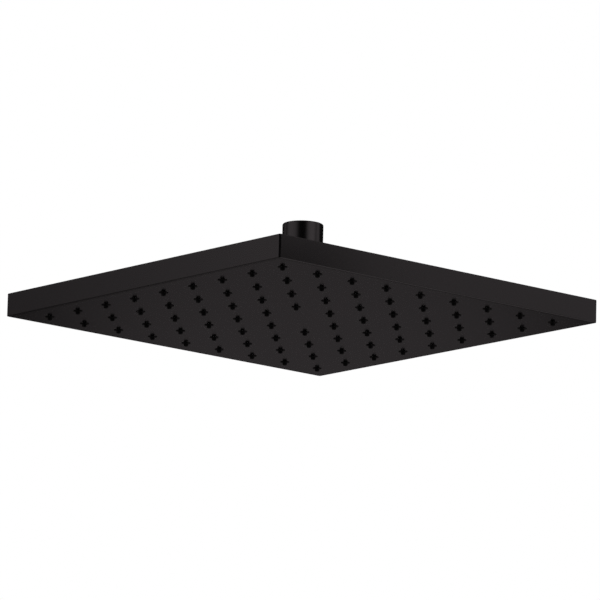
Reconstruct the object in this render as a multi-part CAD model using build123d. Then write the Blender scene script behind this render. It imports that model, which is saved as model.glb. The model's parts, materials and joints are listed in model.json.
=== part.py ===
from build123d import *
from math import cos, radians, sin, sqrt
import os

# Square overhead shower head that hangs by a ball swivel.
# Millimetres. The origin is the middle of the inlet's mouth, +Z points up out of it,
# and the head hangs below with its walls square to X and Y.

# Head: a shallow square cover with the face plate set inside its walls
head_width = 250.0
cover_wall = 2.0
cover_top = 2.0
edge_round = 0.5
corner_round = 1.2
face_thickness = 2.5
face_gap = 0.2

# Nozzles: a square field with the middle one left out, moulded on one soft mat
nozzle_rows = 9
nozzle_margin = 18.6
nozzle_sides = 6
root_diameter = 5.4
root_proud = 0.3
root_clearance = 0.04
nub_diameter = 2.7
nub_length = 2.0
spray_diameter = 1.2
spray_sides = 3
mat_thickness = 1.2

# Water chamber: a tray that presses the mat's edge onto the face plate
chamber_top = 2.0
skirt_wall = 2.0
skirt_to_nozzle = 1.9
water_gap = 2.0
rib_width = 1.6
rib_height = 1.8
rib_start = 24.0

# Screws that pull the chamber down onto the face plate
lug_offset = 60.0
lug_width = 9.0
lug_thickness = 2.0
lug_gap = 0.4
boss_width = 6.0
boss_height = 3.5
screw_diameter = 2.5
screw_bite = 4.4
screw_head_diameter = 5.0
screw_head_height = 1.6
screw_clearance = 0.2
pilot_clearance = 0.04
pilot_floor = 1.2

# Inlet: a half-inch pipe thread, female, with washer, screen and flow regulator below it
inlet_diameter = 24.6
thread_minor_diameter = 18.631
thread_length = 11.0
mouth_chamfer = 0.8
washer_thickness = 2.5
washer_wall = 3.4
washer_clearance = 0.1
groove_depth = 0.4
pocket_diameter = 15.0
pocket_depth = 4.0
inlet_floor = 2.5
inlet_chamfer = 1.2

# Filter screen: a thin cap with sloping sides and a flat rim that lies under the washer
screen_thickness = 0.3
screen_crown_diameter = 5.0
screen_rim = 1.0
screen_rise = 1.8

# Flow regulator: a metering disc with a rubber ring in a channel round its hub
regulator_clearance = 0.1
regulator_hub_diameter = 4.6
regulator_channel_depth = 2.2
regulator_channel_width = 2.6
regulator_slot_length = 1.6
regulator_slot_width = 1.4
regulator_ring_height = 1.6
regulator_ring_clearance = 0.15

# Ball and neck
ball_diameter = 21.0
neck_diameter = 12.0
neck_length = 14.3
water_bore = 8.5

# Swivel rings, given by their angles down from the vertical at the ball's middle
swivel_clearance = 0.08
slip_thickness = 1.2
slip_high_angle = 50.0
slip_low_angle = 76.0
lip_angle = 55.0
seal_high_angle = 104.0
seal_low_angle = 118.0
seat_low_angle = 136.0
seat_ring_wall = 1.72
seat_clearance = 0.05

# Socket, collar nut and what clamps them to the head
cup_wall = 1.75
cup_rim_above_seal = 1.4
flange_diameter = 33.0
flange_thickness = 2.0
ledge_above_flange_foot = 1.0
passage_gap = 0.15
seal_thickness = 1.0
seal_inset = 0.8
spigot_diameter = 20.8
spigot_clearance = 0.2
spigot_end = 0.4
chamber_seal_thickness = 0.8
locknut_washer_thickness = 0.5
locknut_washer_rim = 2.0
locknut_height = 2.6
locknut_across_flats = 27.0
thread_clearance = 0.1
collar_lip = 1.6
collar_gap = 0.3
collar_shoulder_gap = 0.4
collar_chamfer = 1.4

# Heights, worked down from the mouth of the inlet at zero
washer_top = -thread_length
washer_foot = washer_top - washer_thickness
rim_foot = washer_foot - screen_thickness
pocket_foot = rim_foot - pocket_depth
inlet_foot = pocket_foot - inlet_floor
ball_middle = inlet_foot - neck_length

# Widths inside the inlet
washer_outer = thread_minor_diameter / 2 + groove_depth - washer_clearance
washer_hole = washer_outer - washer_wall
channel_inner = regulator_hub_diameter / 2
channel_outer = channel_inner + regulator_channel_width

# Swivel spheres, from the ball outwards
ball_radius = ball_diameter / 2
slip_inner = ball_radius + swivel_clearance
slip_outer = slip_inner + slip_thickness
collar_sphere = slip_outer + swivel_clearance
seat_ring_radius = slip_inner + seat_ring_wall
cup_bore = seat_ring_radius + seat_clearance
cup_radius = cup_bore + cup_wall
seat_foot = ball_middle + slip_inner * cos(radians(seat_low_angle))
ring_top = ball_middle + slip_inner * cos(radians(seal_high_angle))
cup_rim = ring_top + cup_rim_above_seal
slip_middle_angle = (slip_high_angle + slip_low_angle) / 2

# The collar nut stands flush with the socket's flange, the washer reaches a rim past the locknut's flats,
# and one hole size lets the spigot through
collar_diameter = flange_diameter
locknut_washer_diameter = locknut_across_flats + 2 * locknut_washer_rim
spigot_hole = spigot_diameter / 2 + spigot_clearance

# Head heights, from the socket's flange down to the face
flange_foot = seat_foot - ledge_above_flange_foot
flange_top = flange_foot + flange_thickness
cover_crown = flange_foot - seal_thickness
cover_ceiling = cover_crown - cover_top
chamber_ceiling = cover_ceiling - chamber_top
chamber_seal_foot = chamber_ceiling - chamber_seal_thickness
locknut_top = chamber_seal_foot - locknut_washer_thickness
locknut_foot = locknut_top - locknut_height
spigot_foot = locknut_foot - spigot_end
mat_top = spigot_foot - water_gap
mat_foot = mat_top - mat_thickness
face = mat_foot - face_thickness
head_height = cover_crown - face

# Head widths, from the walls inwards
cover_inside = head_width - 2 * cover_wall
face_width = cover_inside - 2 * face_gap
nozzle_pitch = (head_width - 2 * nozzle_margin) / (nozzle_rows - 1)
skirt_inside = head_width - 2 * (nozzle_margin - root_diameter / 2 - skirt_to_nozzle)
skirt_outside = skirt_inside + 2 * skirt_wall
lug_reach = cover_inside / 2 - lug_gap
lug_middle = (skirt_outside / 2 + lug_reach) / 2
lug_foot = mat_foot + boss_height

lift = (Align.CENTER, Align.CENTER, Align.MIN)


def turned(outline):
    """A solid of revolution about the upright axis, from a closed outline of (radius, height) points."""
    return revolve(Plane.XZ * make_face(outline), Axis.Z)


def ring(inner, outer, foot, top):
    """A plain ring with a square section."""
    return turned(Polyline((inner, foot), (outer, foot), (outer, top), (inner, top), close=True))


def on_ball(radius, angle):
    """The point on a sphere round the ball's middle, at an angle down from the vertical."""
    return (radius * sin(radians(angle)), ball_middle + radius * cos(radians(angle)))


def on_cone(radius, touch_angle, angle):
    """The point at an angle on the cone that touches such a sphere at touch_angle."""
    return on_ball(radius / cos(radians(angle - touch_angle)), angle)


def ball_arc(radius, high_angle, low_angle):
    """The arc of such a sphere between two angles."""
    middle_angle = (high_angle + low_angle) / 2
    return ThreePointArc(*[on_ball(radius, angle) for angle in (high_angle, middle_angle, low_angle)])


def square_block(width, foot, top):
    """A square block, upright on the axis of the head."""
    return Pos(0, 0, foot) * Box(width, width, top - foot, align=lift)


def nozzle_places():
    """The middles of all nozzles: a square field without its middle place."""
    field = GridLocations(nozzle_pitch, nozzle_pitch, nozzle_rows, nozzle_rows)
    return [place for place in field if place.position.length > nozzle_pitch / 2]


def nozzle_prisms(diameter, sides, foot, top):
    """One upright prism at every nozzle."""
    prism = Pos(0, 0, foot) * extrude(RegularPolygon(diameter / 2, sides), top - foot)
    return [place * prism for place in nozzle_places()]


def screw_places():
    """Two screws on each side of the head, as turned places whose own X points outwards."""
    sides = [Rot(0, 0, quarter * 90) for quarter in range(4)]
    return [side * Pos(lug_middle, across, 0) for side in sides for across in (-lug_offset, lug_offset)]


def top_cover():
    block = square_block(head_width, face, cover_crown)
    block = fillet(block.edges().filter_by(Axis.Z), corner_round)
    flat_faces = block.faces().filter_by(Axis.Z)
    block = fillet(flat_faces.edges(), edge_round)
    block -= square_block(cover_inside, face, cover_ceiling)
    swivel_hole = Cylinder(spigot_hole, cover_top, align=lift)
    return block - Pos(0, 0, cover_ceiling) * swivel_hole


def face_plate():
    plate = square_block(face_width, face, mat_foot)
    plate -= nozzle_prisms(root_diameter + 2 * root_clearance, nozzle_sides, face, mat_foot)
    boss = Pos(0, 0, mat_foot) * Box(boss_width, boss_width, boss_height, align=lift)
    pilot_depth = boss_height + face_thickness - pilot_floor
    pilot = Cylinder(screw_diameter / 2 + pilot_clearance, pilot_depth, align=lift)
    plate += [place * boss for place in screw_places()]
    return plate - [place * Pos(0, 0, face + pilot_floor) * pilot for place in screw_places()]


def nozzle_mat():
    mat = square_block(skirt_outside, mat_foot, mat_top)
    mat += nozzle_prisms(root_diameter, nozzle_sides, face - root_proud, mat_foot)
    mat += nozzle_prisms(nub_diameter, nozzle_sides, face - nub_length, face - root_proud)
    return mat - nozzle_prisms(spray_diameter, spray_sides, face - nub_length, mat_top)


def chamber_plate():
    tray = square_block(skirt_outside, mat_top, cover_ceiling)
    tray -= square_block(skirt_inside, mat_top, chamber_ceiling)
    rib_length = skirt_inside / 2 - rib_start
    rib = Box(rib_length, rib_width, rib_height, align=(Align.MIN, Align.CENTER, Align.MAX))
    tray += [Rot(0, 0, quarter * 90) * Pos(rib_start, 0, chamber_ceiling) * rib for quarter in range(4)]
    lug_length = lug_reach - skirt_outside / 2
    lug = Pos(0, 0, lug_foot) * Box(lug_length, lug_width, lug_thickness, align=lift)
    tray += [place * lug for place in screw_places()]
    screw_hole = Cylinder(screw_diameter / 2 + screw_clearance, lug_thickness, align=lift)
    tray -= [place * Pos(0, 0, lug_foot) * screw_hole for place in screw_places()]
    swivel_hole = Cylinder(spigot_hole, chamber_top, align=lift)
    return tray - Pos(0, 0, chamber_ceiling) * swivel_hole


def chamber_screws():
    head_foot = lug_foot + lug_thickness
    head_top = head_foot + screw_head_height
    tip = lug_foot - screw_bite
    screw = turned(Polyline((0, tip), (screw_diameter / 2, tip), (screw_diameter / 2, head_foot),
                            (screw_head_diameter / 2, head_foot), (screw_head_diameter / 2, head_top),
                            (0, head_top), close=True))
    return Compound(children=[place * screw for place in screw_places()])


def swivel_socket():
    passage = slip_inner * sin(radians(seat_low_angle)) + passage_gap
    spigot_radius = spigot_diameter / 2
    flange_radius = flange_diameter / 2
    return turned(Polyline((passage, spigot_foot), (spigot_radius, spigot_foot),
                           (spigot_radius, flange_foot), (flange_radius, flange_foot),
                           (flange_radius, flange_top), (cup_radius, flange_top), (cup_radius, cup_rim),
                           (cup_bore, cup_rim), (cup_bore, seat_foot), (passage, seat_foot), close=True))


def socket_locknut():
    hexagon = RegularPolygon(locknut_across_flats / 2, 6, major_radius=False)
    hole = Circle(spigot_diameter / 2 + thread_clearance)
    return extrude(Pos(0, 0, locknut_foot) * (hexagon - hole), locknut_height)


def locknut_washer():
    return ring(spigot_hole, locknut_washer_diameter / 2, locknut_top, chamber_seal_foot)


def chamber_seal():
    return ring(spigot_hole, locknut_washer_diameter / 2 - seal_inset, chamber_seal_foot, chamber_ceiling)


def socket_seal():
    return ring(spigot_hole, flange_diameter / 2 - seal_inset, cover_crown, flange_foot)


def ring_under_ball(high_angle, low_angle):
    """A ring in the cup, spherical inside where the ball rests on it."""
    inner_top = on_ball(slip_inner, high_angle)
    inner_foot = on_ball(slip_inner, low_angle)
    outer_top = (seat_ring_radius, inner_top[1])
    outer_foot = (seat_ring_radius, inner_foot[1])
    return turned(ball_arc(slip_inner, high_angle, low_angle)
                  + Polyline(inner_foot, outer_foot, outer_top, inner_top))


def ball_seat():
    return ring_under_ball(seal_low_angle, seat_low_angle)


def ball_seal():
    return ring_under_ball(seal_high_angle, seal_low_angle)


def slip_ring():
    return turned(ball_arc(slip_inner, slip_high_angle, slip_low_angle)
                  + Line(on_ball(slip_inner, slip_low_angle), on_ball(slip_outer, slip_low_angle))
                  + ball_arc(slip_outer, slip_high_angle, slip_low_angle)
                  + Line(on_ball(slip_outer, slip_high_angle), on_ball(slip_inner, slip_high_angle)))


def collar_nut():
    opening, lip_foot = on_cone(collar_sphere, slip_middle_angle, lip_angle)
    cone_radius, cone_foot = on_cone(collar_sphere, slip_middle_angle, slip_low_angle)
    collar_top = lip_foot + collar_lip
    collar_foot = flange_top + collar_gap
    collar_radius = collar_diameter / 2
    thread_radius = cup_radius + thread_clearance
    shoulder = cup_rim + collar_shoulder_gap
    return turned(Polyline((opening, lip_foot), (cone_radius, cone_foot), (cone_radius, shoulder),
                           (thread_radius, shoulder), (thread_radius, collar_foot),
                           (collar_radius, collar_foot), (collar_radius, collar_top - collar_chamfer),
                           (collar_radius - collar_chamfer, collar_top), (opening, collar_top), close=True))


def ball_inlet():
    thread_radius = thread_minor_diameter / 2
    groove_radius = thread_radius + groove_depth
    pocket_radius = pocket_diameter / 2
    inlet_radius = inlet_diameter / 2
    neck_radius = neck_diameter / 2
    bore_radius = water_bore / 2
    ball_foot = ball_middle - sqrt(ball_radius ** 2 - bore_radius ** 2)
    neck_foot = ball_middle + sqrt(ball_radius ** 2 - neck_radius ** 2)
    ball = ThreePointArc((bore_radius, ball_foot), (ball_radius, ball_middle), (neck_radius, neck_foot))
    outside = Polyline((neck_radius, neck_foot), (neck_radius, inlet_foot),
                       (inlet_radius - inlet_chamfer, inlet_foot),
                       (inlet_radius, inlet_foot + inlet_chamfer), (inlet_radius, -mouth_chamfer),
                       (inlet_radius - mouth_chamfer, 0))
    inside = Polyline((inlet_radius - mouth_chamfer, 0), (thread_radius, 0), (thread_radius, washer_top),
                      (groove_radius, washer_top), (groove_radius, rim_foot), (pocket_radius, rim_foot),
                      (pocket_radius, pocket_foot), (bore_radius, pocket_foot), (bore_radius, ball_foot))
    return turned(ball + outside + inside)


def inlet_washer():
    return ring(washer_hole, washer_outer, washer_foot, washer_top)


def filter_screen():
    rim = washer_hole + screen_rim
    cap_edge = washer_hole - washer_clearance
    under_edge = cap_edge - screen_thickness
    crown = washer_foot + screen_rise
    crown_edge = screen_crown_diameter / 2
    return turned(Polyline((0, crown), (crown_edge, crown), (cap_edge, washer_foot), (rim, washer_foot),
                           (rim, rim_foot), (under_edge, rim_foot), (crown_edge, crown - screen_thickness),
                           (0, crown - screen_thickness), close=True))


def flow_regulator():
    rim = pocket_diameter / 2 - regulator_clearance
    channel_foot = rim_foot - regulator_channel_depth
    disc = turned(Polyline((0, pocket_foot), (rim, pocket_foot), (rim, rim_foot), (channel_outer, rim_foot),
                           (channel_outer, channel_foot), (channel_inner, channel_foot),
                           (channel_inner, rim_foot), (0, rim_foot), close=True))
    slot = Box(regulator_slot_length, regulator_slot_width, channel_foot - pocket_foot,
               align=(Align.MIN, Align.CENTER, Align.MIN))
    slot = Pos(channel_inner, 0, pocket_foot) * slot
    return disc - [Rot(0, 0, quarter * 90) * slot for quarter in range(4)]


def regulator_ring():
    foot = rim_foot - regulator_channel_depth
    return ring(channel_inner + regulator_ring_clearance, channel_outer - regulator_ring_clearance,
                foot, foot + regulator_ring_height)


pieces = (top_cover, face_plate, nozzle_mat, chamber_plate, chamber_screws, swivel_socket, socket_locknut,
          locknut_washer, chamber_seal, socket_seal, ball_seat, ball_seal, slip_ring, collar_nut, ball_inlet,
          inlet_washer, filter_screen, flow_regulator, regulator_ring)

os.makedirs("parts", exist_ok=True)
for piece in pieces:
    export_step(piece(), f"parts/{piece.__name__}.step")

print("head height", round(head_height, 2), "nozzle pitch", round(nozzle_pitch, 3))
print("face", round(face, 2), "ball middle", round(ball_middle, 2), "cover crown", round(cover_crown, 2))
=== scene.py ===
# %% [markdown]
# # A square black shower head
# The head is a flat square box, 250 mm wide, on a ball swivel. Water comes in at the round inlet on top,
# goes through the hollow ball into the box, and leaves by 80 soft nozzles underneath. The CAD model has
# every piece at its real size. This script loads it as a fixed frame, gives each piece its finish, and puts
# finer pieces where the eye goes: the rounded cover, the nozzles, the grip of the collar, and the thread and
# gauze that show in the inlet's mouth.

import json
from math import atan2, cos, degrees, pi, radians, sin, sqrt

import bmesh
import bpy
from mathutils import Matrix, Vector


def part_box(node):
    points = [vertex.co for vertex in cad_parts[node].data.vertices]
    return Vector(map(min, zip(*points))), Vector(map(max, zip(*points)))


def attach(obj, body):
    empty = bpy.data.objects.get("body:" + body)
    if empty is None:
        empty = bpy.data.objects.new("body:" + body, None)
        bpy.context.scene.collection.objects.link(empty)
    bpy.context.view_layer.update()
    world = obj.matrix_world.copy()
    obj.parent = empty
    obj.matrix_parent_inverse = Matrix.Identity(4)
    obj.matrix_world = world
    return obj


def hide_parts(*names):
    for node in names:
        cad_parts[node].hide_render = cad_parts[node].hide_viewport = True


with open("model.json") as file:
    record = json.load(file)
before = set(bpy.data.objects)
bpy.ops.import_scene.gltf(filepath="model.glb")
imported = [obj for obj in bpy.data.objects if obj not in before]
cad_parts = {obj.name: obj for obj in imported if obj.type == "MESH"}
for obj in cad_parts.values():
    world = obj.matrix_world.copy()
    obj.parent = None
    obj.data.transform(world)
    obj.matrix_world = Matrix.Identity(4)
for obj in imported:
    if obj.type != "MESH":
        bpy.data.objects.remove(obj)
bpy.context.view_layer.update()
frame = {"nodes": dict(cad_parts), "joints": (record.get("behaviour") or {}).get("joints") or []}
nodes = frame["nodes"]
mm = 0.001

# %% [markdown]
# ## Shader maths as sums
# A finish is a small graph of nodes, and most of its nodes do sums. Wiring each sum by hand hides what it
# says, so a wire here is a Python object that can be added and multiplied like a number. Each operator adds
# one Math node. Every other node comes from one method, which takes the node's type, its settings and the
# values of its sockets.


# %% A wire that takes part in sums
class Wire:
    """An output socket. A sum with it adds a Math node to its graph."""

    def __init__(self, graph, socket):
        self.graph = graph
        self.socket = socket

    def sum(self, operation, first, second):
        node = self.graph.add("ShaderNodeMath", {"operation": operation})
        self.graph.plug(node.inputs[0], first)
        self.graph.plug(node.inputs[1], second)
        return Wire(self.graph, node.outputs[0])

    def __add__(self, other):
        return self.sum("ADD", self, other)

    def __radd__(self, other):
        return self.sum("ADD", other, self)

    def __sub__(self, other):
        return self.sum("SUBTRACT", self, other)

    def __rsub__(self, other):
        return self.sum("SUBTRACT", other, self)

    def __mul__(self, other):
        return self.sum("MULTIPLY", self, other)

    def __rmul__(self, other):
        return self.sum("MULTIPLY", other, self)

    def __gt__(self, other):
        return self.sum("GREATER_THAN", self, other)


# %% A graph of nodes
class Graph:
    """The nodes of one finish, of the sky or of a stage piece."""

    def __init__(self, owner):
        owner.use_nodes = True
        self.tree = owner.node_tree

    def add(self, kind, settings=None, sockets=None):
        node = self.tree.nodes.new(kind)
        for name, value in (settings or {}).items():
            setattr(node, name, value)
        for name, value in (sockets or {}).items():
            self.plug(self.find(node.inputs, name), value)
        return node

    def find(self, sockets, name):
        """The first socket with this identifier or title."""
        return next(s for s in sockets if name in (s.identifier, s.name))

    def wire(self, kind, settings=None, sockets=None, output=None):
        made = self.add(kind, settings, sockets)
        return Wire(self, self.find(made.outputs, output) if output else made.outputs[0])

    def plug(self, socket, value):
        if isinstance(value, Wire):
            self.tree.links.new(value.socket, socket)
        else:
            socket.default_value = value

    def place(self):
        return self.wire("ShaderNodeTexCoord", output="Object")

    def noise(self, grain, detail=2.0):
        """Soft noise whose lumps are about this many metres across."""
        sockets = {"Vector": self.place(), "Scale": 1 / grain, "Detail": detail}
        return self.wire("ShaderNodeTexNoise", sockets=sockets)

    def ease(self, value, low, high):
        """0 at low, 1 at high, with a smooth way between them."""
        settings = {"interpolation_type": "SMOOTHSTEP"}
        return self.wire("ShaderNodeMapRange", settings, {"Value": value, "From Min": low, "From Max": high})

    def blend(self, share, low, high):
        """A colour that goes from low to high."""
        sockets = {"Factor_Float": share, "A_Color": (*low, 1), "B_Color": (*high, 1)}
        return self.wire("ShaderNodeMix", {"data_type": "RGBA"}, sockets, output="Result_Color")

    def bump(self, height, depth):
        """A surface that rises by depth metres where height is 1."""
        return self.wire("ShaderNodeBump", None, {"Height": height, "Distance": depth, "Strength": 1.0})


# %% A finish
class Finish(Graph):
    """A material with one Principled shader."""

    def __init__(self, name, **plain):
        self.material = bpy.data.materials.new(name)
        super().__init__(self.material)
        self.shader = self.tree.nodes["Principled BSDF"]
        self.feed(**plain)

    def feed(self, **sockets):
        """Sets or links sockets of the shader: base_color=... is its Base Color."""
        for name, value in sockets.items():
            title = name.replace("_", " ").title().replace("Ior", "IOR")
            self.plug(self.shader.inputs[title], value)


# %% [markdown]
# ## Satin black coat
# The cover, the face and the brass fittings have the same satin black look. It isn't a flat colour: the coat
# is nearly black in itself, and what the eye reads as dark grey is the studio, mirrored softly. Two kinds of
# texture break that mirror: orange peel, long low waves from the way the coat flowed out, and a fine grain
# from its matting powder. A third, wide noise clouds the gloss a little, as handling does.

# %% Satin black
coat_level = 0.4
powder_size = 0.25 * mm
cloud_size = 60 * mm


def satin_black(name, peel, peel_depth, roughness):
    coat = Finish(name, specular_ior_level=coat_level)
    waves = coat.noise(peel)
    grain = coat.noise(powder_size, detail=3.0)
    cloud = coat.noise(cloud_size)
    coat.feed(base_color=coat.blend(cloud, (0.0018, 0.0016, 0.0017), (0.0026, 0.0023, 0.0024)),
              roughness=roughness - 0.02 + 0.04 * cloud + 0.03 * grain,
              normal=coat.bump(waves + 0.04 * grain, peel_depth))
    return coat.material


cover_black = satin_black("satin_black_cover", peel=2.4 * mm, peel_depth=0.0012 * mm, roughness=0.26)
face_black = satin_black("satin_black_face", peel=3.2 * mm, peel_depth=0.0003 * mm, roughness=0.15)
fitting_black = satin_black("satin_black_fitting", peel=1.6 * mm, peel_depth=0.0012 * mm, roughness=0.22)
print("satin blacks:", cover_black.name, face_black.name, fitting_black.name)

# %% [markdown]
# ## Silicone and rubber
# The nozzles are black silicone, soft enough to rub the lime off with a thumb. Silicone drinks the light: it
# is darker than the coat round it and has a dull skin. The washers are harder black rubber with a little
# bloom, the pale haze that rubber gets in store.


# %% Silicone and rubber
def soft_black(name, dark, pale, haze, roughness, level):
    rubber = Finish(name, specular_ior_level=level)
    grain_size = 0.12 * mm
    grain_depth = 0.006 * mm
    bloom = rubber.noise(haze)
    grain = rubber.noise(grain_size)
    rubber.feed(base_color=rubber.blend(bloom, dark, pale), roughness=roughness + 0.1 * bloom,
                normal=rubber.bump(grain, grain_depth))
    return rubber.material


nozzle_silicone = soft_black("nozzle_silicone", (0.0012, 0.0012, 0.0012), (0.0020, 0.0019, 0.0019),
                             haze=3 * mm, roughness=0.5, level=0.09)
seal_rubber = soft_black("seal_rubber", (0.010, 0.010, 0.010), (0.020, 0.019, 0.018),
                         haze=1.5 * mm, roughness=0.55, level=0.35)
print("soft blacks:", nozzle_silicone.name, seal_rubber.name)

# %% [markdown]
# ## Moulded plastics
# The slip ring, the ball's seat and the flow regulator are off-white bearing plastic, waxy and a little
# clouded. The tray that closes the water chamber is dark grey plastic, left as it came out of a spark-eroded
# mould, so its skin is a field of tiny craters. A Voronoi texture gives those: each cell is one spark.


# %% Moulded plastics
def bearing_plastic():
    plastic = Finish("bearing_plastic", specular_ior_level=0.4)
    wax_size = 2.5 * mm
    wax_depth = 0.01 * mm
    wax = plastic.noise(wax_size)
    plastic.feed(base_color=plastic.blend(wax, (0.60, 0.585, 0.54), (0.68, 0.665, 0.62)),
                 roughness=0.32 + 0.1 * wax, normal=plastic.bump(wax, wax_depth))
    return plastic.material


def chamber_plastic():
    plastic = Finish("chamber_plastic", specular_ior_level=0.4)
    crater_size = 0.5 * mm
    crater_depth = 0.02 * mm
    flow_size = 20 * mm
    sockets = {"Vector": plastic.place(), "Scale": 1 / crater_size}
    sparks = plastic.wire("ShaderNodeTexVoronoi", None, sockets)
    flow = plastic.noise(flow_size)
    plastic.feed(base_color=plastic.blend(flow, (0.042, 0.042, 0.043), (0.055, 0.055, 0.055)),
                 roughness=0.5 + 0.1 * flow, normal=plastic.bump(sparks, crater_depth))
    return plastic.material


seat_plastic = bearing_plastic()
tray_plastic = chamber_plastic()
print("plastics:", seat_plastic.name, tray_plastic.name)

# %% [markdown]
# ## Brass and steel
# The lock nut is turned brass, and the screws and the gauze are stainless steel. A turned face carries the
# marks of the tool, fine rings round the axis. A wave texture in rings about Z draws them, and it feeds both
# the bump and the roughness, because a groove scatters the light as well as tilting it.


# %% Turned metals
def turned_metal(name, dark, pale, roughness):
    metal = Finish(name, metallic=1.0)
    tool_step = 1.2 * mm
    tool_depth = 0.006 * mm
    tarnish_size = 4 * mm
    settings = {"wave_type": "RINGS", "rings_direction": "Z"}
    sockets = {"Vector": metal.place(), "Scale": 1 / tool_step, "Distortion": 0.6, "Detail": 2.0}
    tool_marks = metal.wire("ShaderNodeTexWave", settings, sockets)
    tarnish = metal.noise(tarnish_size)
    metal.feed(base_color=metal.blend(tarnish, dark, pale),
               roughness=roughness + 0.1 * tool_marks + 0.1 * tarnish,
               normal=metal.bump(tool_marks, tool_depth))
    return metal.material


locknut_brass = turned_metal("turned_brass", (0.62, 0.42, 0.15), (0.74, 0.54, 0.22), roughness=0.22)
screw_steel = turned_metal("stainless_steel", (0.50, 0.50, 0.49), (0.62, 0.62, 0.60), roughness=0.2)
print("metals:", locknut_brass.name, screw_steel.name)

# %% [markdown]
# ## Finishes on the CAD pieces
# Most CAD pieces already have their final shape, so they only change finish. The record gives each of them a
# slot, and the slot's name says which finish it gets.

# %% Dress the CAD pieces
slot_finish = {"cover_black": cover_black, "face_black": face_black, "fitting_black": fitting_black,
               "nozzle_silicone": nozzle_silicone, "chamber_plastic": tray_plastic,
               "seat_plastic": seat_plastic, "seal_rubber": seal_rubber,
               "locknut_brass": locknut_brass, "screw_steel": screw_steel}
slot_pieces = {"cover_black": ["top_cover"],
               "face_black": ["face_plate"],
               "fitting_black": ["swivel_socket", "collar_nut", "ball_inlet"],
               "nozzle_silicone": ["nozzle_mat"],
               "chamber_plastic": ["chamber_plate"],
               "seat_plastic": ["slip_ring", "ball_seat", "flow_regulator"],
               "seal_rubber": ["socket_seal", "chamber_seal", "ball_seal", "inlet_washer", "regulator_ring"],
               "locknut_brass": ["socket_locknut"],
               "screw_steel": ["chamber_screws", "locknut_washer", "filter_screen"]}
for slot, piece_names in slot_pieces.items():
    for piece_name in piece_names:
        dressed = nodes[piece_name].data
        dressed.materials.clear()
        dressed.materials.append(slot_finish[slot])
print("dressed:", sum(len(piece_names) for piece_names in slot_pieces.values()), "CAD pieces")

# %% [markdown]
# ## Skins over loops
# Every finer piece here is a skin over a row of loops, each joined to the next by a band of quads: a rounded
# square for the cover, a circle for what is turned. Blender's Screw modifier could turn an outline too, but
# a loop whose radius changes with the angle also gives threads and grips, so one helper makes them all.


# %% Skin
def skin(mesh, loops, capped=False):
    """Bands of quads between loops, closed by two caps or by a band from the last loop to the first."""
    rows = [[mesh.verts.new(point) for point in loop] for loop in loops]
    pairs = list(zip(rows, rows[1:]))
    if capped:
        mesh.faces.new(reversed(rows[0]))
        mesh.faces.new(rows[-1])
    else:
        pairs.append((rows[-1], rows[0]))
    for row, following in pairs:
        for i in range(len(row)):
            j = (i + 1) % len(row)
            mesh.faces.new((row[i], row[j], following[j], following[i]))


# %% Smooth a piece and hand it over
sharp_angle = radians(32)


def mesh_data(name, mesh):
    """What was built in a bmesh, as data for an object."""
    data = bpy.data.meshes.new(name)
    mesh.to_mesh(data)
    mesh.free()
    return data


def into_scene(name, data):
    """A new object in the scene, from a mesh, a lamp or a camera."""
    made = bpy.data.objects.new(name, data)
    bpy.context.scene.collection.objects.link(made)
    return made


def piece(name, mesh, slot, body, stands_for):
    """A finished object: smooth but for its sharp edges, riding on its body in place of a CAD node."""
    bmesh.ops.recalc_face_normals(mesh, faces=mesh.faces)
    data = mesh_data(name, mesh)
    data.shade_smooth()
    data.set_sharp_from_angle(angle=sharp_angle)
    data.materials.append(slot_finish[slot])
    made = into_scene(name, data)
    flat = made.modifiers.new("flats_stay_flat", "WEIGHTED_NORMAL")
    flat.keep_sharp = True
    flat.weight = 100
    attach(made, body)
    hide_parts(stands_for)
    print(name, "has", len(data.polygons), "faces and stands for", stands_for)


# %% Outlines for turned pieces
def arc(centre, radius, start, end, steps):
    """Points (r, z) round a centre, from one angle to another in degrees, 0 being outwards and 90 up."""
    turns = [radians(start + (end - start) * i / steps) for i in range(steps + 1)]
    return [(centre[0] + radius * cos(t), centre[1] + radius * sin(t)) for t in turns]


def circle(radius, height, sides, wave=None):
    """A level circle. wave gives how far the radius grows at each angle."""
    angles = [2 * pi * i / sides for i in range(sides)]
    radii = [radius + (wave(a, height) if wave else 0) for a in angles]
    return [(r * cos(a), r * sin(a), height) for r, a in zip(radii, angles)]


def rings(outline, sides):
    """A level circle for each point (r, z) of an outline."""
    return [circle(r, z, sides) for r, z in outline]


# %% [markdown]
# ## Cover
# The cover is a shallow tray, pressed and then coated. Its edges are rounded by half a millimetre and its
# corners by 1.2 mm, and those thin round edges are where a black box shows its shape. A bevel modifier on a
# box could round them, but it would round all edges alike, so the section of the wall is drawn here and
# swept round a rounded square.

# %% Rounded square loops
corner_steps = 8


def rounded_square(half, corner_radius, height):
    """A level square loop with round corners, anticlockwise."""
    loop = []
    for quarter in range(4):
        for step in range(corner_steps + 1):
            turn = radians(90 * quarter + 90 * step / corner_steps)
            side_x, side_y = [(1, 1), (-1, 1), (-1, -1), (1, -1)][quarter]
            centre = half - corner_radius
            loop.append((side_x * centre + corner_radius * cos(turn),
                         side_y * centre + corner_radius * sin(turn), height))
    return loop


# %% Cover
cover_low, cover_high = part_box("top_cover")
cover_half = cover_high.x
cover_wall = 2 * mm
edge_round = 0.5 * mm
corner_round = 1.2 * mm
inside_corner_round = 0.1 * mm
swivel_hole_radius = 10.6 * mm
edge_steps = 6


def cover_loop(inset, height):
    return rounded_square(cover_half - inset, max(corner_round - inset, inside_corner_round), height)


def cover_hole(height):
    """A circle with as many points as a rounded square has, so that a band can join the two."""
    sides = 4 * (corner_steps + 1)
    angles = [pi / sides + 2 * pi * i / sides for i in range(sides)]
    return [(swivel_hole_radius * cos(a), swivel_hole_radius * sin(a), height) for a in angles]


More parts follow.
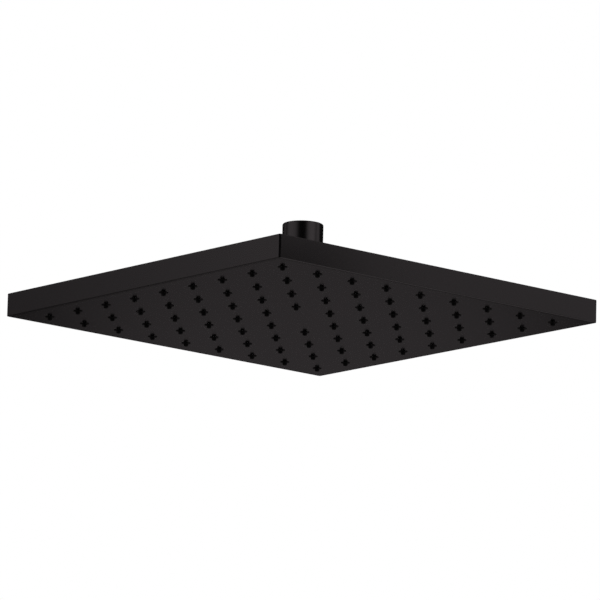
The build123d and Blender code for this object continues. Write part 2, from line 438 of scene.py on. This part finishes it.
ceiling = cover_high.z - cover_wall
lower_edge = arc((-edge_round, cover_low.z + edge_round), edge_round, -90, 0, edge_steps)
upper_edge = arc((-edge_round, cover_high.z - edge_round), edge_round, 0, 90, edge_steps)
cover_loops = [cover_loop(cover_wall, cover_low.z)]
cover_loops += [cover_loop(-out, z) for out, z in lower_edge + upper_edge]
cover_loops += [cover_hole(cover_high.z), cover_hole(ceiling), cover_loop(cover_wall, ceiling)]
cover_mesh = bmesh.new()
skin(cover_mesh, cover_loops)
piece("cover_tray", cover_mesh, "cover_black", "head", "top_cover")

# %% [markdown]
# ## Nozzles
# All 80 nozzles are one silicone mat behind the face. Each comes through its hole as a low step that grips
# the face, and a slim nub with a rounded lip round the hole for the spray. The CAD model keeps them
# six-sided so that it stays light. Here they are turned, from one outline used 80 times. The middle place of
# the 9 by 9 field stays empty, because the swivel's nut sits behind it.

# %% One nozzle's outline
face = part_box("face_plate")[0].z
mat_low, mat_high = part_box("nozzle_mat")
mat_thickness = 1.2 * mm
mat_foot = mat_high.z - mat_thickness
root_radius = 2.0 * mm
step_radius = 2.77 * mm
step_proud = 0.40 * mm
step_round = 0.15 * mm
step_side = 0.01 * mm
nub_radius = 1.38 * mm
tip_radius = 1.28 * mm
lip_round = 0.35 * mm
spray_radius = 0.6 * mm
spray_lip = 0.2 * mm
foot_round = 0.2 * mm


def nozzle_outline():
    tip = mat_low.z
    edge_height = face - step_side - step_round
    root = [(spray_radius, mat_foot), (root_radius, mat_foot), (root_radius, face), (step_radius, face)]
    edge = arc((step_radius - step_round, edge_height), step_round, 0, -80, steps=4)
    foot = arc((nub_radius + foot_round, face - step_proud - foot_round), foot_round, 90, 180, steps=4)
    lip = arc((tip_radius - lip_round, tip + lip_round), lip_round, 0, -90, steps=5)
    mouth = arc((spray_radius + spray_lip, tip + spray_lip), spray_lip, -90, -180, steps=4)
    return root + edge + foot + lip + mouth


print("a nozzle's outline has", len(nozzle_outline()), "points")

# %% Eighty nozzles on their mat
nozzle_rows = 9
nozzle_pitch = 26.6 * mm
nozzle_sides = 28
mat_corner = 1 * mm


def nozzle_field():
    mesh = bmesh.new()
    outline = nozzle_outline()
    middle = nozzle_rows // 2
    for row in range(nozzle_rows):
        for column in range(nozzle_rows):
            if row == column == middle:
                continue
            place = Vector(((column - middle) * nozzle_pitch, (row - middle) * nozzle_pitch, 0))
            loops = rings(outline, nozzle_sides)
            skin(mesh, [[Vector(point) + place for point in loop] for loop in loops])
    sheet = [rounded_square(mat_high.x, mat_corner, z) for z in (mat_foot, mat_high.z)]
    skin(mesh, sheet, capped=True)
    return mesh


piece("nozzle_field", nozzle_field(), "nozzle_silicone", "head", "nozzle_mat")

# %% [markdown]
# ## Inlet and ball
# The inlet, the neck and the ball are turned from one bar of brass. The mouth has a half-inch pipe thread,
# 14 turns to the inch. A thread is a circle whose radius rises and falls with the angle and the height
# together, so the bore is a stack of close circles with that wave. The wave fades in at the mouth and out at
# the foot.

# %% Thread wave
thread_pitch = 25.4 * mm / 14
thread_depth = 1.162 * mm
thread_length = 11 * mm
thread_fade = 0.9 * mm
thread_flat = 0.25
thread_rows = 88


def thread_wave(angle, height):
    """How far the bore is cut back from the thread's crest."""
    turn = (height / thread_pitch - angle / (2 * pi)) % 1
    flank = 1 - abs(2 * turn - 1)
    rounded = min(max((1 + 2 * thread_flat) * flank - thread_flat, 0), 1)
    ends = min(-height, height + thread_length) / thread_fade
    return thread_depth * rounded * min(max(ends, 0), 1)


print("the thread has", round(thread_length / thread_pitch, 1), "turns")

# %% Inlet
washer_low, washer_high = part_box("inlet_washer")
screen_low, screen_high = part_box("filter_screen")
inlet_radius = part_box("ball_inlet")[1].x
thread_radius = 9.3155 * mm
groove_radius = 9.7155 * mm
pocket_radius = 7.5 * mm
pocket_depth = 4 * mm
bore_radius = 4.25 * mm
ball_radius = 10.5 * mm
ball_middle = frame["joints"][0]["pos_m"][2]
neck_radius = 6 * mm
neck_round = 0.6 * mm
inlet_foot = -20.3 * mm
inlet_shoulder = 1.2 * mm
mouth_round = 0.8 * mm
inlet_sides = 128
print("the ball's middle is", round(-ball_middle / mm, 1), "mm below the mouth")


# %% Inlet's skin
def angle_on_ball(radius):
    """The angle above level, in degrees, of the ring round the ball that has this radius."""
    return degrees(atan2(sqrt(ball_radius ** 2 - radius ** 2), radius))


def inlet_mesh():
    mesh = bmesh.new()
    bore_edge = -angle_on_ball(bore_radius)
    neck_edge = angle_on_ball(neck_radius)
    rim_foot = screen_low.z
    outside = arc((0, ball_middle), ball_radius, bore_edge, neck_edge, steps=40)
    outside += arc((neck_radius + neck_round, inlet_foot - neck_round), neck_round, 180, 90, steps=5)
    shoulder = (inlet_radius - inlet_shoulder, inlet_foot + inlet_shoulder)
    outside += arc(shoulder, inlet_shoulder, -90, 0, steps=6)
    outside += arc((inlet_radius - mouth_round, -mouth_round), mouth_round, 0, 90, steps=6)
    inside = [(groove_radius, washer_high.z), (groove_radius, rim_foot), (pocket_radius, rim_foot),
              (pocket_radius, rim_foot - pocket_depth), (bore_radius, rim_foot - pocket_depth)]
    heights = [-thread_length * i / thread_rows for i in range(thread_rows + 1)]
    loops = rings(outside, inlet_sides)
    loops += [circle(thread_radius, z, inlet_sides, thread_wave) for z in heights]
    loops += rings(inside, inlet_sides)
    skin(mesh, loops)
    return mesh


piece("inlet_and_ball", inlet_mesh(), "fitting_black", "inlet", "ball_inlet")

# %% [markdown]
# ## Collar
# The collar screws down on the socket and holds the ball in. A hand has to turn it, so its side has a band
# of fine upright ribs. They could be small boxes round a cylinder, but real ones are cut into the round, so
# here they are valleys in the circle, and the collar grows no wider than the CAD model says.

# %% Collar
collar_low, collar_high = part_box("collar_nut")
collar_outer = collar_high.x
collar_opening = 9.81 * mm
collar_lip = 1.6 * mm
cone_radius = 11.81 * mm
cone_foot = ball_middle + 2.94 * mm
cup_thread_radius = 14.2 * mm
collar_shoulder = ball_middle - 0.76 * mm
collar_round = 1.4 * mm
lip_ease = 0.4 * mm
foot_ease = 0.3 * mm
rib_count = 64
rib_depth = 0.45 * mm
collar_sides = 6 * rib_count
grip_margin = 2.2 * mm
grip_fade = 0.7 * mm
grip_foot = collar_low.z + grip_margin
grip_top = collar_high.z - collar_round - grip_margin
print("the grip is", round((grip_top - grip_foot) / mm, 2), "mm high")


# %% Collar's skin
def grip_wave(angle, height):
    """The valleys between the ribs, which run out at the ends of the band."""
    ends = min(height - grip_foot, grip_top - height) / grip_fade
    valley = 0.5 - 0.5 * cos(rib_count * angle)
    return -rib_depth * min(max(ends, 0), 1) * valley


def collar_mesh():
    mesh = bmesh.new()
    inside = [(collar_opening, collar_high.z - collar_lip), (cone_radius, cone_foot),
              (cone_radius, collar_shoulder), (cup_thread_radius, collar_shoulder),
              (cup_thread_radius, collar_low.z), (collar_outer - foot_ease, collar_low.z)]
    band = [collar_low.z + foot_ease, grip_foot, grip_foot + grip_fade, grip_top - grip_fade, grip_top]
    crown = arc((collar_outer - collar_round, collar_high.z - collar_round), collar_round, 0, 90, steps=6)
    crown += arc((collar_opening + lip_ease, collar_high.z - lip_ease), lip_ease, 90, 180, steps=4)
    loops = rings(inside, collar_sides)
    loops += [circle(collar_outer, z, collar_sides, grip_wave) for z in band]
    loops += rings(crown, collar_sides)
    skin(mesh, loops)
    return mesh


piece("collar_grip", collar_mesh(), "fitting_black", "head", "collar_nut")

# %% [markdown]
# ## Gauze
# A cap of gauze in the inlet keeps grit out of the nozzles. It is woven: each wire goes over one and under
# the next. A pattern on a plain cap would look right from far off, but the mouth is where the part gets
# looked into, so the wires are real, and each is a thin skin along its own wavy path.

# %% Gauze
wire_radius = 0.13 * mm
wire_gap = 0.85 * mm
wire_sides = 6
steps_per_gap = 4
gauze_radius = 6.1 * mm
gauze_crown = 2.5 * mm
gauze_rise = screen_high.z - screen_low.z
rim_inner = gauze_radius - 0.2 * mm
rim_outer = screen_high.x
rim_sides = 64
print("the gauze rises", round(gauze_rise / mm, 2), "mm")


# %% Wires of the gauze
def gauze_height(x, y):
    """The cap that the wires follow: a flat crown with sloping sides."""
    slope = (sqrt(x * x + y * y) - gauze_crown) / (gauze_radius - gauze_crown)
    return screen_low.z + 2 * wire_radius + (gauze_rise - 4 * wire_radius) * (1 - min(max(slope, 0), 1))


def gauze_wire(across, parity, along_x):
    """The loops of one wire at a distance across the cap, weaving over and under the others."""
    reach = sqrt(gauze_radius ** 2 - across ** 2)
    steps = max(int(2 * reach / wire_gap * steps_per_gap), steps_per_gap)
    loops = []
    for i in range(steps + 1):
        along = -reach + 2 * reach * i / steps
        x, y = (along, across) if along_x else (across, along)
        weave = wire_radius * cos(pi * along / wire_gap) * parity
        height = gauze_height(x, y) + weave
        loop = []
        for j in range(wire_sides):
            turn = 2 * pi * j / wire_sides
            side = wire_radius * cos(turn)
            offset = (0, side) if along_x else (-side, 0)
            loop.append((x + offset[0], y + offset[1], height + wire_radius * sin(turn)))
        loops.append(loop)
    return loops


# %% Weave the gauze
def gauze_mesh():
    mesh = bmesh.new()
    reach = int(gauze_radius / wire_gap)
    for i in range(-reach, reach + 1):
        parity = 1 if i % 2 else -1
        skin(mesh, gauze_wire(i * wire_gap, parity, True), capped=True)
        skin(mesh, gauze_wire(i * wire_gap, -parity, False), capped=True)
    rim = [(rim_inner, screen_low.z), (rim_outer, screen_low.z), (rim_outer, washer_low.z),
           (rim_inner, washer_low.z)]
    skin(mesh, rings(rim, rim_sides))
    return mesh


piece("inlet_gauze", gauze_mesh(), "screw_steel", "inlet", "filter_screen")

# %% [markdown]
# ## Floor and sky
# The photograph has a plain white ground. The sky is white to the camera, to mirrors and to glass, and pale
# grey as a lamp, so that the ground is white without more light on the head. The floor is a pale disc well
# below the head. It takes the shadow, and it lets through whatever looks at it from underneath, because this
# head is seen from below.

# %% Sky
ambient = 0.55
sky = bpy.data.worlds.new("white_ground")
bpy.context.scene.world = sky
sky_graph = Graph(sky)
sky_node = sky_graph.tree.nodes["Background"]
path = sky_graph.add("ShaderNodeLightPath")
seen = [Wire(sky_graph, path.outputs[f"Is {kind} Ray"]) for kind in ("Camera", "Glossy", "Transmission")]
shown = (seen[0] + seen[1] + seen[2]) > 0.5
sky_node.inputs["Color"].default_value = (1, 1, 1, 1)
sky_graph.plug(sky_node.inputs["Strength"], ambient + (1 - ambient) * shown)
bpy.context.scene.view_settings.view_transform = "Standard"
print("sky shows white and lights with", ambient)

# %% Floor
floor_drop = 0.45
floor_radius = 1.4
floor_sides = 96
floor_mesh = bmesh.new()
bmesh.ops.create_circle(floor_mesh, cap_ends=True, segments=floor_sides, radius=floor_radius,
                        matrix=Matrix.Translation((0, 0, -floor_drop)))
floor = into_scene("floor", mesh_data("floor", floor_mesh))
floor.visible_glossy = False
print("floor is", floor_drop, "m below the inlet's mouth")

# %% Floor's finish
scuff_size = 0.3
pale_floor = Finish("pale_floor", roughness=0.9, specular_ior_level=0.0)
scuffs = pale_floor.noise(scuff_size)
pale_floor.feed(base_color=pale_floor.blend(scuffs, (0.86, 0.86, 0.86), (0.88, 0.88, 0.88)))
underneath = pale_floor.wire("ShaderNodeNewGeometry", output="Backfacing")
from_axis = pale_floor.wire("ShaderNodeVectorMath", {"operation": "LENGTH"},
                            {"Vector": pale_floor.place()}, "Value")
fading = pale_floor.ease(from_axis, floor_drop, floor_radius)
clear = pale_floor.add("ShaderNodeBsdfTransparent")
either = pale_floor.add("ShaderNodeMixShader", None, {"Fac": underneath + (1 - underneath) * fading})
pale_floor.tree.links.new(pale_floor.shader.outputs[0], either.inputs[1])
pale_floor.tree.links.new(clear.outputs[0], either.inputs[2])
pale_floor.tree.links.new(either.outputs[0], pale_floor.tree.nodes["Material Output"].inputs["Surface"])
floor.data.materials.append(pale_floor.material)
print("floor fades out from", floor_drop, "to", floor_radius, "m")

# %% [markdown]
# ## What the black coat mirrors
# A black thing is lit by what it mirrors. In a bare white room its face, seen at a slant, would turn grey,
# so a photographer hangs a dark tent round it and leaves a few soft openings. The tent here is a ball that
# only mirrors see. Its glow is low all round, with soft patches: two left and two right for the side walls,
# one low behind the head for the face, one low on the right for the lower edge, four more low ones for the
# walls as they show from above, and a few overhead for the top.

# %% Patches of the tent: bearing, rise and half-width in degrees, then strength
patches = {"left": (166, 12, 43, 0.88), "left_behind": (112, 12, 16, 0.28),
           "right": (-37, 12, 17, 0.72), "right_front": (-81, 12, 35, 1.2),
           "low_behind": (48.7, -10, 12.5, 0.064), "low_right": (-17, -48, 45, 0.6),
           "low_right_front": (-50, -30, 28, 0.35), "low_left": (140, -30, 28, 0.35),
           "low_front": (-130, -38, 28, 0.35), "low_back": (49, -48, 26, 0.35),
           "overhead": (49, 85, 45, 0.32)}
for overhead_bearing in (139, 229, 319):
    patches[f"overhead_{overhead_bearing}"] = (overhead_bearing, 50, 34, 0.32)
print("tent has", len(patches), "soft patches")


# %% Directions, and stage pieces for mirrors
def direction(bearing, rise):
    """A unit vector at a bearing from +X towards +Y and a rise above level, in degrees."""
    turn = radians(bearing)
    lift = radians(rise)
    return Vector((cos(turn) * cos(lift), sin(turn) * cos(lift), sin(lift)))


def mirror_only(name, mesh, material, place):
    """A stage piece that nothing but a reflection shows."""
    made = into_scene(name, mesh_data(name, mesh))
    made.data.materials.append(material)
    made.location = place
    for ray in ("camera", "diffuse", "transmission", "volume_scatter", "shadow"):
        setattr(made, f"visible_{ray}", False)
    return made


# %% Tent
tent_radius = 1.5
tent_middle = Vector((0, 0, -0.05))
tent_glow = 0.014
tent_tint = (1.0, 0.89, 0.925)
tent_power = 1.5


def tent_cloth():
    cloth = bpy.data.materials.new("dark_tent")
    graph = Graph(cloth)
    graph.tree.nodes.clear()
    towards = graph.wire("ShaderNodeVectorMath", {"operation": "NORMALIZE"}, {"Vector": graph.place()})
    glow = tent_glow
    for bearing, rise, width, strength in patches.values():
        sockets = {"Vector": towards, "Vector_001": direction(bearing, rise)}
        nearness = graph.wire("ShaderNodeVectorMath", {"operation": "DOT_PRODUCT"}, sockets, "Value")
        glow = strength * graph.ease(nearness, cos(radians(width)), 1.0) + glow
    shade = graph.blend(glow * (1 / tent_power), low=(0, 0, 0), high=tent_tint)
    lit = graph.add("ShaderNodeEmission", None, {"Color": shade, "Strength": tent_power})
    out = graph.add("ShaderNodeOutputMaterial")
    graph.tree.links.new(lit.outputs[0], out.inputs["Surface"])
    return cloth


tent_mesh = bmesh.new()
bmesh.ops.create_icosphere(tent_mesh, subdivisions=4, radius=tent_radius)
tent = mirror_only("tent", tent_mesh, tent_cloth(), tent_middle)
print("tent has", len(tent.data.polygons), "faces")

# %% [markdown]
# ## Black cards
# Two black cards stand before the near corner. The tall one is close to it: the corner's round edge mirrors
# little else, so it turns into a dark line, and further back the round inlet mirrors it as a narrow dark
# band. The low one stands further off, before the start of the right wall, which fades towards the corner.

# %% Black cards
camera_bearing = -130.78
near_corner = Vector((cover_low.x, cover_low.y, cover_high.z))
fibre_size = 20 * mm
card_black = Finish("black_card", specular_ior_level=0.0)
card_fibres = card_black.noise(fibre_size)
card_black.feed(base_color=card_black.blend(card_fibres, (0.001, 0.001, 0.001), (0.002, 0.002, 0.002)))


def black_card(name, bearing, ahead, width, drop, rise):
    """An upright card that faces the near corner, from below the cover's top to above it."""
    mesh = bmesh.new()
    side = width / 2 * direction(bearing + 90, 0)
    foot = Vector((0, 0, -drop))
    top = Vector((0, 0, rise))
    corners = [foot - side, foot + side, top + side, top - side]
    mesh.faces.new([mesh.verts.new(corner) for corner in corners])
    return mirror_only(name, mesh, card_black.material, near_corner + ahead * direction(bearing, 0))


cards = [black_card("corner_card", camera_bearing, ahead=0.02, width=0.10, drop=0.2, rise=0.2),
         black_card("wall_card", -70, ahead=0.25, width=0.254, drop=0.05, rise=0.058)]
print("cards:", [card.name for card in cards])

# %% [markdown]
# ## Lamps
# Three large soft lamps light the pieces that aren't black and the floor: one high on the left, one on the
# right and one low in front. The mirrors don't see them, as the tent already gives the reflections.

# %% Lamps
lamp_size = 1.2


def soft_lamp(name, bearing, rise, distance, power):
    data = bpy.data.lights.new(name, "AREA")
    data.energy = power
    data.size = lamp_size
    lamp = into_scene(name, data)
    lamp.location = tent_middle + distance * direction(bearing, rise)
    lamp.rotation_mode = "QUATERNION"
    lamp.rotation_quaternion = (tent_middle - lamp.location).to_track_quat("-Z", "Y")
    lamp.visible_glossy = False
    return lamp


lamps = [soft_lamp("high_left", bearing=170, rise=50, distance=2.2, power=22),
         soft_lamp("right", bearing=-40, rise=35, distance=2.4, power=12),
         soft_lamp("low_front", bearing=-130, rise=-30, distance=2.4, power=10)]
print("lamps:", [lamp.name for lamp in lamps])

# %% [markdown]
# ## Camera
# The picture is taken from below with a long lens: the head's far sides hardly get smaller. Its place was
# found from the four corners of the head and the rows of nozzles.

# %% Camera
camera_rise = -11.68
camera_roll = 1.473
camera_distance = 3.535
camera_aim = Vector((-0.5 * mm, 0.4 * mm, face + 12 * mm))
camera_lens = 355.1

camera_data = bpy.data.cameras.new("camera")
camera_data.sensor_width = 36
camera_data.lens = camera_lens
camera_data.clip_end = 20
camera = into_scene("camera", camera_data)
camera.location = camera_aim + camera_distance * direction(camera_bearing, camera_rise)
looking = (camera_aim - camera.location).to_track_quat("-Z", "Y").to_matrix()
camera.rotation_euler = (looking @ Matrix.Rotation(radians(camera_roll), 3, "Z")).to_euler()
bpy.context.scene.camera = camera
print("camera at", [round(x, 3) for x in camera.location])
